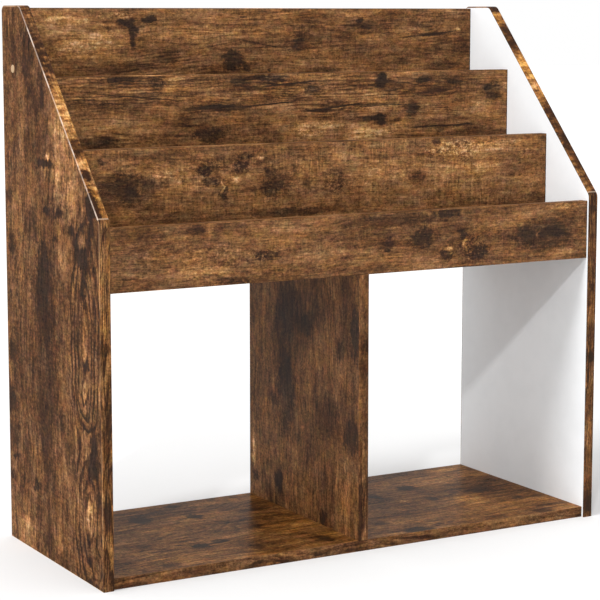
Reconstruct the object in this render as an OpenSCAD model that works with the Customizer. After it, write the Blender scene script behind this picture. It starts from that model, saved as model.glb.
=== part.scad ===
// Kids bookcase: three stepped book rows over two open cubes, made of flat boards on cams and dowels.
// Millimetres. X is the width, the front faces -Y and Z is up. The origin is the middle of the foot.

/* [Boards] */
// Thickness of every board
board = 15; // [13:0.5:18]
// How far the fronts of the boards lie behind the fronts of the side panels
front_setback = 5; // [2:0.5:12]

/* [Cubes] */
// Clear width of one cube
cube_w = 367.5; // [320:2.5:450]
// Clear height of one cube
cube_h = 367.5; // [280:2.5:450]

/* [Book rows] */
// Clear room for books in one row, front to back
row_gap = 85; // [75:1:110]
// Height of the lip in front of each row, above the floor of that row
lip_h = 67.5; // [55:0.5:90]
// How much higher each row stands than the one in front of it
row_rise = 91.5; // [75:0.5:110]

/* [Side panel outline] */
// How far the side panels stand above the back board
panel_rise = 3; // [1:0.5:15]
// How far the knee of the side panels stands above the front lip
knee_rise = 9; // [4:1:30]
// Length of the level crown at the rear top of the side panels
crown_len = 65; // [40:1:90]
// Outer radius of the knee
knee_r = 12; // [6:1:25]
// Outer radius where the slope meets the crown
crown_r = 12; // [6:1:25]
// Outer radius of the rear top corner
rear_r = 8; // [5:1:20]

/* [Edge bands] */
// Thickness of the thick band round the side panels
thick_band = 2; // [1.75:0.25:3]
// Radius of the long arrises of the thick band
thick_arris = 1.5; // [0.5:0.25:1.75]
// Thickness of the thin band on the shelves and row boards
thin_band = 1; // [0.8:0.1:1.5]
// Radius of the long arrises of the thin band
thin_arris = 0.7; // [0.3:0.1:0.9]

/* [Cam locks] */
// Diameter of a cam lock
cam_d = 15; // [12:0.5:18]
// Height of a cam lock
cam_h = 11.5; // [10:0.25:12]
// Distance from a board's end to the centre of its cam lock
cam_reach = 34; // [28:1:40]
// Distance from a board's long edge to the nearest cam lock, where a board has two
cam_inset = 35; // [28:1:50]
// Diameter of the hollow in a cam lock that holds the bolt's head
cam_hollow_d = 9; // [8:0.5:10]
// Height of that hollow
cam_hollow_h = 7.4; // [7:0.1:8]
// Height of the slot in the side of a cam lock that lets the bolt's neck through
cam_slot_h = 4.4; // [4:0.1:5]
// Length of one arm of the driver's cross in a cam lock, end to end
cam_cross_l = 9; // [7:0.5:11]
// Width of an arm of the driver's cross
cam_cross_w = 2; // [1.5:0.1:2.5]
// Depth of the driver's cross
cam_cross_depth = 2; // [1:0.1:2.2]

/* [Cam bolts] */
// Diameter of the bolt's threaded end
bolt_thread_d = 5; // [4:0.5:6]
// Length of the threaded end, inside the side panel
bolt_thread_l = 9.5; // [7:0.5:10]
// Diameter of the bolt's shank, inside the board
bolt_shank_d = 7; // [6:0.25:7.5]
// Length of the shank
bolt_shank_l = 24; // [20:0.5:25]
// Diameter of the bolt's neck
bolt_neck_d = 3.6; // [3:0.1:3.8]
// Diameter of the bolt's ball head
bolt_head_d = 6.4; // [5.5:0.1:6.8]

/* [Dowels] */
// Diameter of a wooden dowel
dowel_d = 8; // [6:0.5:8.5]
// Length of a wooden dowel
dowel_l = 30; // [25:1:35]
// Length of a dowel's shorter end, in the face of a board
dowel_bite = 9.5; // [7:0.5:10]
// Distance between a dowel and the cam lock beside it, in the two wide shelves
dowel_pitch = 32; // [28:1:40]
// Distance from a narrow board's long edge to its dowels
dowel_edge = 15; // [13:1:18]
// Distance from the middle of a long board to its outer joining dowels
span_dowel_x = 250; // [150:5:270]

/* [Divider screws] */
// Head diameter of a divider screw
screw_head_d = 10; // [8:0.5:11]
// Shank diameter of a divider screw
screw_d = 6; // [4:0.5:7]
// Length of a divider screw
screw_l = 50; // [40:1:60]
// Distance from the middle of the depth to each divider screw
screw_y = 100; // [90:1:115]
// Width of the hexagonal socket in a screw's head, corner to corner
screw_socket_d = 4.2; // [3:0.1:4.5]

/* [Cover plugs] */
// Diameter of the round flange of the plug on the outer face of each side panel
plug_d = 11; // [10:0.5:16]
// How far the flange stands proud of the panel
plug_proud = 0.8; // [0.5:0.1:1.5]
// Diameter of the plug's stem
plug_stem_d = 8; // [5:0.5:9]
// Length of the plug's stem
plug_stem_l = 8; // [5:0.5:10]
// Distance from the rear edge to the middle of the plug
plug_inset = 39; // [30:1:55]
// Distance from the top edge to the middle of the plug
plug_drop = 85; // [60:1:110]

/* [Hidden] */
// Clearance all round a fastener in its hole
gap = 0.1;
// Free depth left at the end of a blind hole
end_gap = 0.5;
// Chamfer on the ends of the dowels and bolts
tip_chamfer = 1;
// Bevel round the flange of a plug
plug_bevel = 0.4;
// Amount by which a cut runs past a face
over = 1;
// Facets of the round pieces, of the rounded arrises and of the bends
$fn = 48;
arris_fn = 24;
bend_fn = 96;
// The book rows, from the front
BOOK_ROWS = ["front", "second", "third"];
rows = len(BOOK_ROWS);
// The two ends of a board
LEFT = -1;
RIGHT = 1;
// Ways that an edge band can face, as [y, z]
REARWARD = [1, 0];
UP = [0, 1];
FORWARD = [-1, 0];
DOWN = [0, -1];

inner_w = 2 * cube_w + board;
width = inner_w + 2 * board;
row_pitch = row_gap + board;
depth = front_setback + (rows + 1) * board + rows * row_gap;
front_y = -depth / 2;
rear_y = depth / 2;
board_y = front_y + front_setback;

// Levels, from the floor up
shelf_top = board;
divider_top = shelf_top + cube_h;
floor_top = divider_top + board;
front_top = floor_top + lip_h;
row_board_h = lip_h + row_rise;
height = front_top + rows * row_rise + panel_rise;
knee_z = front_top + knee_rise;

// Front face of row board n, where 0 is the front board and the last is the back board
function row_y(n) = board_y + n * row_pitch;
// Top of the floor of row n, where 0 is the front row
function row_floor(n) = floor_top + n * row_rise;

// The boards that end on the side panels, as [middle y, middle z, stands upright, places across the
// board of its cam locks, and of its dowels]. A wide or tall board has two cam locks at each end.
function two_at(off) = [-off, off];
function wide_board(y, z, w) =
    [y, z, false, two_at(w / 2 - cam_inset), two_at(w / 2 - cam_inset - dowel_pitch)];
function tall_board(y, z, w) = [y, z, true, two_at(w / 2 - cam_inset), [0]];
function narrow_board(y, z, w, upright) = [y, z, upright, [0], two_at(w / 2 - dowel_edge)];
function mid_y(spec) = spec[0];
function mid_z(spec) = spec[1];
function stands(spec) = spec[2];
function cam_places(spec) = spec[3];
function dowel_places(spec) = spec[4];
BOTTOM = wide_board((board_y + rear_y) / 2, board / 2, rear_y - board_y);
MIDDLE = wide_board((board_y + board + rear_y) / 2, floor_top - board / 2, rear_y - board_y - board);
FRONT = narrow_board(board_y + board / 2, (divider_top + front_top) / 2, front_top - divider_top, true);
function row_upright(n) = tall_board(row_y(n) + board / 2, row_floor(n - 1) + row_board_h / 2, row_board_h);
function row_level(n) =
    narrow_board(row_y(n) + board + row_pitch / 2, row_floor(n) - board / 2, row_pitch, false);
ENDED_BOARDS = [
    BOTTOM, MIDDLE, FRONT,
    for (n = [1:rows]) row_upright(n),
    for (n = [1:rows - 1]) row_level(n),
];

// Outline of a side panel
// Its corners are [y, z], clockwise from the front of the foot, each with its outer radius
OUTLINE = [
    [front_y, 0],
    [front_y, knee_z],
    [rear_y - crown_len, height],
    [rear_y, height],
    [rear_y, 0],
];
RADII = [0, knee_r, crown_r, rear_r, 0];
CORNERS = ["front foot", "knee", "slope top", "rear top", "rear foot"];
function corner(name) = search([name], CORNERS)[0];

function unit(v) = v / norm(v);
function left_of(v) = [-v.y, v.x];
function cross2(a, b) = a.x * b.y - a.y * b.x;
function heading(v) = atan2(v.y, v.x);
// Where the line through p along u meets the line through q along v
function meet(p, u, q, v) = p + u * cross2(q - p, v) / cross2(u, v);
// Directions of the outline's edges into and out of corner i
function way_in(pts, i) = unit(pts[i] - pts[(i + len(pts) - 1) % len(pts)]);
function way_out(pts, i) = unit(pts[(i + 1) % len(pts)] - pts[i]);

// The core's outline: every edge but the foot lies one band's thickness further in
CORE = [
    for (i = [0:len(OUTLINE) - 1])
        let (
            u = way_in(OUTLINE, i),
            v = way_out(OUTLINE, i),
            before = i == 0 ? 0 : thick_band,
            after = i == len(OUTLINE) - 1 ? 0 : thick_band
        )
        meet(OUTLINE[i] - left_of(u) * before, u, OUTLINE[i] - left_of(v) * after, v)
];
CORE_RADII = [for (r = RADII) max(0, r - thick_band)];

// The arc at corner i of the core: its sweep, its ends and its centre
function sweep(i) = acos(way_in(CORE, i) * way_out(CORE, i));
function tangent(i) = CORE_RADII[i] * tan(sweep(i) / 2);
function arc_start(i) = CORE[i] - way_in(CORE, i) * tangent(i);
function arc_end(i) = CORE[i] + way_out(CORE, i) * tangent(i);
function arc_centre(i) = arc_start(i) - left_of(way_in(CORE, i)) * CORE_RADII[i];

// Edge bands

// Cross-section of a band: x outwards from the board's edge, y across the board from its middle
module band_section(thick, arris) {
    translate([0, -board / 2]) square([thick - arris, board]);
    translate([0, arris - board / 2]) square([thick, board - 2 * arris]);
    intersection() {
        for (side = [-1, 1]) {
            translate([thick - arris, side * (board / 2 - arris)]) circle(arris, $fn = arris_fn);
        }
        translate([0, -board / 2]) square([thick, board]);
    }
}

// Frame at the arc of corner i: +X points outwards at the given angle, +Z runs across the board
module at_arc(i, angle) {
    translate([board / 2 - width / 2, arc_centre(i).x, arc_centre(i).y])
        rotate([90, 0, 90]) rotate([0, 0, angle]) children();
}
// The same frame where a band comes to the bend, and where it leaves it, with -Y away from the bend
module before_bend(i) {
    at_arc(i, heading(way_in(CORE, i)) + 90) mirror([0, 1, 0]) children();
}
module after_bend(i) {
    at_arc(i, heading(way_out(CORE, i)) + 90) children();
}

// Thick band round corner i, and a straight length of it from there
module thick_bend(i) {
    rotate_extrude(angle = sweep(i), $fn = bend_fn)
        translate([CORE_RADII[i], 0]) band_section(thick_band, thick_arris);
}
module thick_run(i, length) {
    translate([CORE_RADII[i], 0, 0]) rotate([90, 0, 0])
        linear_extrude(length) band_section(thick_band, thick_arris);
}

// A strip of thin band along X on a board's edge
module thin_strip(y, z, facing) {
    translate([-inner_w / 2, y, z]) rotate([heading(facing), 0, 0]) rotate([90, 0, 90])
        linear_extrude(inner_w) band_section(thin_band, thin_arris);
}

// Fasteners and their holes
// Local frame of a board's end: +X runs from the side panel's inner face into the board, +Y across
// the board, and the cam pocket opens towards -Z. It is turned to suit an upright board.

module at_end(spec, side) {
    mirror([side == RIGHT ? 1 : 0, 0, 0]) translate([-inner_w / 2, mid_y(spec), mid_z(spec)])
        rotate([stands(spec) ? 90 : 0, 0, 0]) children();
}

// The same frame at each of several places across the board
module at_end_places(spec, side, places) {
    at_end(spec, side) {
        for (y = places) {
            translate([0, y, 0]) children();
        }
    }
}

// A cylinder or a cone along +X that starts at x
module rod(x, d, length) {
    translate([x, 0, 0]) rotate([0, 90, 0]) cylinder(d = d, h = length);
}
module taper(x, d1, d2, length) {
    translate([x, 0, 0]) rotate([0, 90, 0]) cylinder(d1 = d1, d2 = d2, h = length);
}

module cam_pocket() {
    rod(-over, bolt_shank_d + 2 * gap, cam_reach + over);
    translate([cam_reach, 0, -board / 2 - over]) cylinder(d = cam_d + 2 * gap, h = cam_h + gap + over);
}

// A cam lock: a disc with a hollow for the bolt's head, a slot round half its side for the neck,
// a round way in for the head at the slot's end, and a cross recess for the driver
module cam_lock() {
    translate([cam_reach, 0, 0]) difference() {
        translate([0, 0, -board / 2]) cylinder(d = cam_d, h = cam_h);
        translate([0, 0, -cam_hollow_h / 2]) cylinder(d = cam_hollow_d, h = cam_hollow_h);
        rotate([0, 0, 90]) translate([0, 0, -cam_slot_h / 2])
            rotate_extrude(angle = 180) square([cam_d, cam_slot_h]);
        rotate([0, 0, 90]) rod(0, cam_hollow_h, cam_d);
        for (turned = [45, 135]) {
            rotate([0, 0, turned]) translate([-cam_cross_l / 2, -cam_cross_w / 2, -board / 2 - over])
                cube([cam_cross_l, cam_cross_w, cam_cross_depth + over]);
        }
    }
}

// A cam bolt: thread in the side panel, shank in the board, neck and ball head in the cam lock
module cam_bolt() {
    neck_end = cam_reach - bolt_head_d / 4;
    taper(-bolt_thread_l, bolt_thread_d - 2 * tip_chamfer, bolt_thread_d, tip_chamfer);
    rod(tip_chamfer - bolt_thread_l, bolt_thread_d, bolt_thread_l - tip_chamfer);
    rod(0, bolt_shank_d, bolt_shank_l);
    rod(bolt_shank_l, bolt_neck_d, neck_end - bolt_shank_l);
    translate([cam_reach, 0, 0]) sphere(d = bolt_head_d);
}

module bolt_hole() {
    rod(-bolt_thread_l - end_gap, bolt_thread_d + 2 * gap, bolt_thread_l + end_gap + over);
}

// A dowel along X, whose shorter end lies at x < 0
module dowel() {
    long_end = dowel_l - dowel_bite;
    taper(-dowel_bite, dowel_d - 2 * tip_chamfer, dowel_d, tip_chamfer);
    rod(tip_chamfer - dowel_bite, dowel_d, dowel_l - 2 * tip_chamfer);
    taper(long_end - tip_chamfer, dowel_d, dowel_d - 2 * tip_chamfer, tip_chamfer);
}
module dowel_hole_long() {
    rod(-over, dowel_d + 2 * gap, dowel_l - dowel_bite + end_gap + over);
}
module dowel_hole_short() {
    rod(-dowel_bite - end_gap, dowel_d + 2 * gap, dowel_bite + end_gap + over);
}

// Everything that is drilled in the two ends of a board
module end_holes(spec) {
    for (side = [LEFT, RIGHT]) {
        at_end_places(spec, side, cam_places(spec)) cam_pocket();
        at_end_places(spec, side, dowel_places(spec)) dowel_hole_long();
    }
}

// Dowels that stand in the foot of row board n, and that lie in the front edge of the floor behind it
SPAN_PLACES = [-span_dowel_x, 0, span_dowel_x];
module foot_dowel_places(n) {
    for (x = SPAN_PLACES) {
        translate([x, row_y(n) + board / 2, row_floor(n - 1)]) rotate([0, -90, 0]) children();
    }
}
module edge_dowel_places(n) {
    for (x = SPAN_PLACES) {
        translate([x, row_y(n) + board, row_floor(n) - board / 2]) rotate([0, 0, 90]) children();
    }
}

// Dowels and screws between the divider and the shelves under and over it
module divider_foot_dowel() {
    translate([0, mid_y(BOTTOM), shelf_top]) rotate([0, -90, 0]) children();
}
module divider_head_dowel() {
    translate([0, mid_y(BOTTOM), divider_top]) rotate([0, 90, 0]) children();
}
module divider_screw_places() {
    for (y = [-screw_y, screw_y]) {
        translate([0, y, 0]) rotate([0, -90, 0]) children();
        translate([0, y, floor_top]) rotate([0, 90, 0]) children();
    }
}

// A countersunk screw along +X with its head's face at x = 0, widened all round by extra
module screw_body(extra) {
    cone = (screw_head_d - screw_d) / 2;
    point = screw_d / 2;
    taper(0, screw_head_d + 2 * extra, screw_d + 2 * extra, cone);
    rod(cone, screw_d + 2 * extra, screw_l - cone - point);
    taper(screw_l - point, screw_d + 2 * extra, 2 * tip_chamfer, point + extra);
}
module divider_screw() {
    difference() {
        screw_body(0);
        rotate([0, 90, 0]) translate([0, 0, -over])
            cylinder(d = screw_socket_d, h = (screw_head_d - screw_d) / 2 + over, $fn = 6);
    }
}

// Side panels

module side_core() {
    difference() {
        translate([-width / 2, 0, 0]) rotate([90, 0, 90]) {
            linear_extrude(board) polygon([for (i = [0:len(CORE) - 1]) each [arc_start(i), arc_end(i)]]);
            for (name = ["knee", "slope top", "rear top"]) {
                i = corner(name);
                translate([arc_centre(i).x, arc_centre(i).y, 0])
                    cylinder(r = CORE_RADII[i], h = board, $fn = bend_fn);
            }
        }
        for (spec = ENDED_BOARDS) {
            at_end_places(spec, LEFT, cam_places(spec)) bolt_hole();
            at_end_places(spec, LEFT, dowel_places(spec)) dowel_hole_short();
        }
        at_plug() rod(-over, plug_stem_d + 2 * gap, plug_stem_l + end_gap + over);
    }
}
module left_side_panel() {
    color("saddlebrown") side_core();
}
module right_side_panel() {
    color("saddlebrown") mirror([1, 0, 0]) side_core();
}

// The three strips round a side panel: up the front and round the knee, up the slope and round its
// top corner, and along the crown, round the rear corner and down the rear edge
module front_strip() {
    knee = corner("knee");
    before_bend(knee) {
        thick_bend(knee);
        thick_run(knee, arc_start(knee).y);
    }
}
module slope_strip() {
    top = corner("slope top");
    before_bend(top) {
        thick_bend(top);
        thick_run(top, norm(arc_start(top) - arc_end(corner("knee"))));
    }
}
module rear_strip() {
    rear = corner("rear top");
    before_bend(rear) thick_run(rear, norm(arc_start(rear) - arc_end(corner("slope top"))));
    after_bend(rear) {
        thick_bend(rear);
        thick_run(rear, arc_end(rear).y);
    }
}
module left_front_edge_band() {
    color("sienna") front_strip();
}
module left_slope_edge_band() {
    color("peru") slope_strip();
}
module left_rear_edge_band() {
    color("sienna") rear_strip();
}
module right_front_edge_band() {
    color("sienna") mirror([1, 0, 0]) front_strip();
}
module right_slope_edge_band() {
    color("peru") mirror([1, 0, 0]) slope_strip();
}
module right_rear_edge_band() {
    color("sienna") mirror([1, 0, 0]) rear_strip();
}

// Frame of the left plug: +X runs into the side panel from its outer face
module at_plug() {
    translate([-width / 2, rear_y - plug_inset, height - plug_drop]) children();
}
module plug() {
    at_plug() {
        taper(-plug_proud, plug_d - 2 * plug_bevel, plug_d, plug_bevel);
        rod(plug_bevel - plug_proud, plug_d, plug_proud - plug_bevel);
        rod(0, plug_stem_d, plug_stem_l);
    }
}
module cover_plugs() {
    color("tan") {
        plug();
        mirror([1, 0, 0]) plug();
    }
}

// Shelves and divider

module bottom_shelf() {
    core_depth = rear_y - board_y - 2 * thin_band;
    color("saddlebrown") difference() {
        translate([-inner_w / 2, board_y + thin_band, 0]) cube([inner_w, core_depth, board]);
        end_holes(BOTTOM);
        divider_foot_dowel() dowel_hole_short();
        divider_screw_places() screw_body(gap);
    }
}
module bottom_shelf_edge_bands() {
    color("sienna") {
        thin_strip(board_y + thin_band, board / 2, FORWARD);
        thin_strip(rear_y - thin_band, board / 2, REARWARD);
    }
}

module middle_shelf() {
    core_depth = rear_y - board_y - board - thin_band;
    color("saddlebrown") difference() {
        translate([-inner_w / 2, board_y + board, divider_top]) cube([inner_w, core_depth, board]);
        end_holes(MIDDLE);
        edge_dowel_places(0) dowel_hole_long();
        foot_dowel_places(1) dowel_hole_short();
        divider_head_dowel() dowel_hole_short();
        divider_screw_places() screw_body(gap);
    }
}
module middle_shelf_edge_band() {
    color("sienna") thin_strip(rear_y - thin_band, floor_top - board / 2, REARWARD);
}

module centre_divider() {
    core_depth = rear_y - board_y - 2 * thin_band;
    color("saddlebrown") difference() {
        translate([-board / 2, board_y + thin_band, shelf_top]) cube([board, core_depth, cube_h]);
        divider_foot_dowel() dowel_hole_long();
        divider_head_dowel() dowel_hole_long();
        divider_screw_places() screw_body(gap);
    }
}
module divider_edge_bands() {
    color("sienna") {
        translate([0, board_y + thin_band, shelf_top]) rotate([0, 0, -90])
            linear_extrude(cube_h) band_section(thin_band, thin_arris);
        translate([0, rear_y - thin_band, shelf_top]) rotate([0, 0, 90])
            linear_extrude(cube_h) band_section(thin_band, thin_arris);
    }
}

// Boards of the book rows

module front_board() {
    core_h = front_top - divider_top - 2 * thin_band;
    color("saddlebrown") difference() {
        translate([-inner_w / 2, board_y, divider_top + thin_band]) cube([inner_w, board, core_h]);
        end_holes(FRONT);
        edge_dowel_places(0) dowel_hole_short();
    }
}
module front_board_edge_bands() {
    color("sienna") {
        thin_strip(board_y + board / 2, front_top - thin_band, UP);
        thin_strip(board_y + board / 2, divider_top + thin_band, DOWN);
    }
}

// Row board n stands on the floor of the row in front of it
module row_board(n) {
    color("saddlebrown") difference() {
        translate([-inner_w / 2, row_y(n), row_floor(n - 1)])
            cube([inner_w, board, row_board_h - thin_band]);
        end_holes(row_upright(n));
        foot_dowel_places(n) dowel_hole_long();
        if (n < rows) {
            edge_dowel_places(n) dowel_hole_short();
        }
    }
}
module row_board_strip(n) {
    color("sienna") thin_strip(row_y(n) + board / 2, row_floor(n - 1) + row_board_h - thin_band, UP);
}

// The floor of row n runs from the back of row board n to under the board behind it
module row_floor_board(n) {
    color("saddlebrown") difference() {
        translate([-inner_w / 2, row_y(n) + board, row_floor(n) - board])
            cube([inner_w, row_pitch - thin_band, board]);
        end_holes(row_level(n));
        edge_dowel_places(n) dowel_hole_long();
        foot_dowel_places(n + 1) dowel_hole_short();
    }
}
module row_floor_strip(n) {
    color("sienna") thin_strip(row_y(n + 1) + board - thin_band, row_floor(n) - board / 2, REARWARD);
}

module second_row_board() {
    row_board(1);
}
module second_row_board_edge_band() {
    row_board_strip(1);
}
module third_row_board() {
    row_board(2);
}
module third_row_board_edge_band() {
    row_board_strip(2);
}
module back_board() {
    row_board(rows);
}
module back_board_edge_band() {
    row_board_strip(rows);
}
module second_row_floor() {
    row_floor_board(1);
}
module second_row_floor_edge_band() {
    row_floor_strip(1);
}
module third_row_floor() {
    row_floor_board(2);
}
module third_row_floor_edge_band() {
    row_floor_strip(2);
}

// All fasteners of a kind

module at_all_cams() {
    for (spec = ENDED_BOARDS, side = [LEFT, RIGHT]) {
        at_end_places(spec, side, cam_places(spec)) children();
    }
}
module cam_locks() {
    color("silver") at_all_cams() cam_lock();
}
module cam_bolts() {
    color("gainsboro") at_all_cams() cam_bolt();
}
module panel_dowels() {
    color("burlywood") for (spec = ENDED_BOARDS, side = [LEFT, RIGHT]) {
        at_end_places(spec, side, dowel_places(spec)) dowel();
    }
}
module row_dowels() {
    color("burlywood") {
        for (n = [1:rows]) {
            foot_dowel_places(n) dowel();
        }
        for (n = [0:rows - 1]) {
            edge_dowel_places(n) dowel();
        }
    }
}
module divider_dowels() {
    color("burlywood") {
        divider_foot_dowel() dowel();
        divider_head_dowel() dowel();
    }
}
module divider_screws() {
    color("gainsboro") divider_screw_places() divider_screw();
}

left_side_panel();
left_front_edge_band();
left_slope_edge_band();
left_rear_edge_band();
right_side_panel();
right_front_edge_band();
right_slope_edge_band();
right_rear_edge_band();
bottom_shelf();
bottom_shelf_edge_bands();
middle_shelf();
middle_shelf_edge_band();
centre_divider();
divider_edge_bands();
front_board();
front_board_edge_bands();
second_row_board();
second_row_board_edge_band();
second_row_floor();
second_row_floor_edge_band();
third_row_board();
third_row_board_edge_band();
third_row_floor();
third_row_floor_edge_band();
back_board();
back_board_edge_band();
cam_locks();
cam_bolts();
panel_dowels();
row_dowels();
divider_dowels();
divider_screws();
cover_plugs();
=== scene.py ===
# Kids bookcase with three book rows over two open cubes, in smoked oak with plain white inner sides.
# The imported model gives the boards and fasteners. This file gives them their finish, and adds the
# floor, the light and the camera. Lengths are in metres, and in millimetres inside the materials.
from math import cos, radians, sin

import bpy
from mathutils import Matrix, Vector


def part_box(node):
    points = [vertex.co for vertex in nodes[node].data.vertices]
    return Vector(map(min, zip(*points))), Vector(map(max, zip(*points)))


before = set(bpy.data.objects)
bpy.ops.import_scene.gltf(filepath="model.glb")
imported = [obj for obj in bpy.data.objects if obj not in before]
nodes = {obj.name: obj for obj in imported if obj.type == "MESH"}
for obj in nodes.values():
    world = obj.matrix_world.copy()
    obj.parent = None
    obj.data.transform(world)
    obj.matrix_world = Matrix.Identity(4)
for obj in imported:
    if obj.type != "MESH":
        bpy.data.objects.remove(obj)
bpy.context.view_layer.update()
bpy.ops.object.select_all(action="DESELECT")


# SIDE PANELS
# Two 15 mm chipboard panels cut to a sloping outline. The outer face is covered with smoked oak
# decor paper whose grain runs upright, the inner face with plain white paper. The foot is raw.


def add(tree, kind, feeds=(), **settings):
    """Adds a node. Each feed, by number or by name, is linked when it is a socket, or else set."""
    made = tree.nodes.new("ShaderNode" + kind)
    for name, value in settings.items():
        setattr(made, name, value)
    for place, feed in feeds.items() if isinstance(feeds, dict) else enumerate(feeds):
        if isinstance(feed, bpy.types.NodeSocket):
            tree.links.new(feed, made.inputs[place])
        elif feed is not None:
            made.inputs[place].default_value = feed
    return made


def calc(tree, operation, *values, clamp=False):
    return add(tree, "Math", values, operation=operation, use_clamp=clamp).outputs[0]


def vector_calc(tree, operation, *values):
    made = add(tree, "VectorMath", values, operation=operation)
    return made.outputs["Value" if operation in ("LENGTH", "DOT_PRODUCT") else "Vector"]


def times(tree, vector, factor):
    made = add(tree, "VectorMath", {0: vector, "Scale": factor}, operation="SCALE")
    return made.outputs["Vector"]


def between(tree, value, low, high, to_low=0.0, to_high=1.0):
    """Takes a value that runs from low to high smoothly over to another pair of values."""
    feeds = (value, low, high, to_low, to_high)
    return add(tree, "MapRange", feeds, interpolation_type="SMOOTHSTEP").outputs[0]


def noise(tree, place, stretch, detail=2.0, rough=0.5, shape="Fac"):
    """Noise whose fineness along, across and through the board is given per millimetre."""
    drawn_out = vector_calc(tree, "MULTIPLY", place, stretch)
    feeds = {"Vector": drawn_out, "Scale": 1.0, "Detail": detail, "Roughness": rough}
    return add(tree, "TexNoise", feeds).outputs[shape]


def paint(tree, share, below, above, blend="MIX"):
    """Lays one colour over another by a share from 0 to 1."""
    made = add(tree, "Mix", {0: share, 6: below, 7: above}, data_type="RGBA", blend_type=blend)
    return made.outputs[2]


def start_group(name, takes, gives):
    """A node group with named inputs, as (name, kind, value), and named outputs, as (name, kind)."""
    tree = bpy.data.node_groups.new(name, "ShaderNodeTree")
    for label, kind, value in takes:
        socket = tree.interface.new_socket(label, in_out="INPUT", socket_type="NodeSocket" + kind)
        socket.default_value = value
    for label, kind in gives:
        tree.interface.new_socket(label, in_out="OUTPUT", socket_type="NodeSocket" + kind)
    return tree, tree.nodes.new("NodeGroupInput").outputs, tree.nodes.new("NodeGroupOutput")


def use_group(tree, group, **feeds):
    """Places a group. A feed that is None leaves its input at the group's own value."""
    made = tree.nodes.new("ShaderNodeGroup")
    made.node_tree = group
    for label, feed in feeds.items():
        socket = made.inputs[label.replace("_", " ")]
        if isinstance(feed, bpy.types.NodeSocket):
            tree.links.new(feed, socket)
        elif feed is not None:
            socket.default_value = feed
    return made.outputs


# One mark in the printed figure: a knot, stain or pale patch. It adds its share of tone, warmth and
# burl to the sum of the marks before it. A soft halo reaches past its outline, and a core with a
# ragged rim fills it.
mark_group, taken, given = start_group(
    "printed mark",
    [
        ("Sum", "Vector", (0, 0, 0)),
        ("Place", "Vector", (0, 0, 0)),
        ("Centre", "Vector", (0, 0, 0)),
        ("Reach", "Vector", (10, 10, 10)),
        ("Amount", "Vector", (0, 0, 0)),
        ("Ragged", "Float", 0.0),
    ],
    [("Sum", "Vector")],
)
HALO_SHARE = 0.4
offset = vector_calc(mark_group, "SUBTRACT", taken["Place"], taken["Centre"])
offset = vector_calc(mark_group, "DIVIDE", offset, taken["Reach"])
distance = vector_calc(mark_group, "LENGTH", offset)
halo = between(mark_group, distance, 1.7, 0.2, 0.0, HALO_SHARE)
torn = calc(mark_group, "ADD", distance, taken["Ragged"])
core = between(mark_group, torn, 1.1, 0.75, 0.0, 1.0 - HALO_SHARE)
inside = calc(mark_group, "ADD", halo, core)
with_mark = vector_calc(mark_group, "MULTIPLY_ADD", taken["Amount"], inside, taken["Sum"])
mark_group.links.new(with_mark, given.inputs["Sum"])

# A crack or a knot's dark arm runs from one place to another and fades out at both ends.
crack_group, taken, given = start_group(
    "printed crack",
    [
        ("Sum", "Vector", (0, 0, 0)),
        ("Place", "Vector", (0, 0, 0)),
        ("From", "Vector", (0, 0, 0)),
        ("To", "Vector", (10, 0, 0)),
        ("Width", "Float", 1.5),
        ("Tone", "Float", -0.4),
    ],
    [("Sum", "Vector")],
)
run = vector_calc(crack_group, "SUBTRACT", taken["To"], taken["From"])
offset = vector_calc(crack_group, "SUBTRACT", taken["Place"], taken["From"])
beside = vector_calc(crack_group, "SUBTRACT", offset, vector_calc(crack_group, "PROJECT", offset, run))
beside = calc(crack_group, "DIVIDE", vector_calc(crack_group, "LENGTH", beside), taken["Width"])
travelled = vector_calc(crack_group, "DOT_PRODUCT", offset, run)
travelled = calc(crack_group, "DIVIDE", travelled, vector_calc(crack_group, "DOT_PRODUCT", run, run))
from_middle = calc(crack_group, "ABSOLUTE", calc(crack_group, "SUBTRACT", travelled, 0.5))
over_width = between(crack_group, beside, 1.0, 0.3)
over_length = between(crack_group, from_middle, 0.5, 0.3)
inside = calc(crack_group, "MULTIPLY", over_width, over_length)
darkening = calc(crack_group, "MULTIPLY", inside, taken["Tone"])
darkening = add(crack_group, "CombineXYZ", (darkening,)).outputs[0]
crack_group.links.new(vector_calc(crack_group, "ADD", taken["Sum"], darkening), given.inputs["Sum"])

# Growth lines run round the hearts of the figure. Each heart tells how near the nearest one is, in
# its own half length and half width, and near hearts run together.
heart_group, taken, given = start_group(
    "heart of the figure",
    [
        ("Nearest", "Float", 50.0),
        ("Place", "Vector", (0, 0, 0)),
        ("Centre", "Vector", (0, 0, 0)),
        ("Reach", "Vector", (10, 10, 10)),
    ],
    [("Nearest", "Float")],
)
offset = vector_calc(heart_group, "SUBTRACT", taken["Place"], taken["Centre"])
offset = vector_calc(heart_group, "DIVIDE", offset, taken["Reach"])
own = vector_calc(heart_group, "LENGTH", offset)
nearest = calc(heart_group, "SMOOTH_MIN", taken["Nearest"], own, 1.2)
heart_group.links.new(nearest, given.inputs["Nearest"])

# The lines round the hearts are thin and dark, and the hearts themselves are pale.
contour_group, taken, given = start_group(
    "lines round hearts",
    [
        ("Sum", "Vector", (0, 0, 0)),
        ("Place", "Vector", (0, 0, 0)),
        ("Nearest", "Float", 50.0),
        ("Lines", "Float", 2.0),
        ("Span", "Float", 4.0),
        ("Depth", "Float", 1.0),
    ],
    [("Sum", "Vector")],
)


def thin_line(tree, rings, start):
    """One line for each whole number that the value passes, which grows slowly and breaks off."""
    ring = calc(tree, "FRACT", rings)
    growing = between(tree, ring, *start)
    breaking_off = between(tree, ring, 1.0, 0.9)
    return calc(tree, "MULTIPLY", growing, breaking_off)


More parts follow.
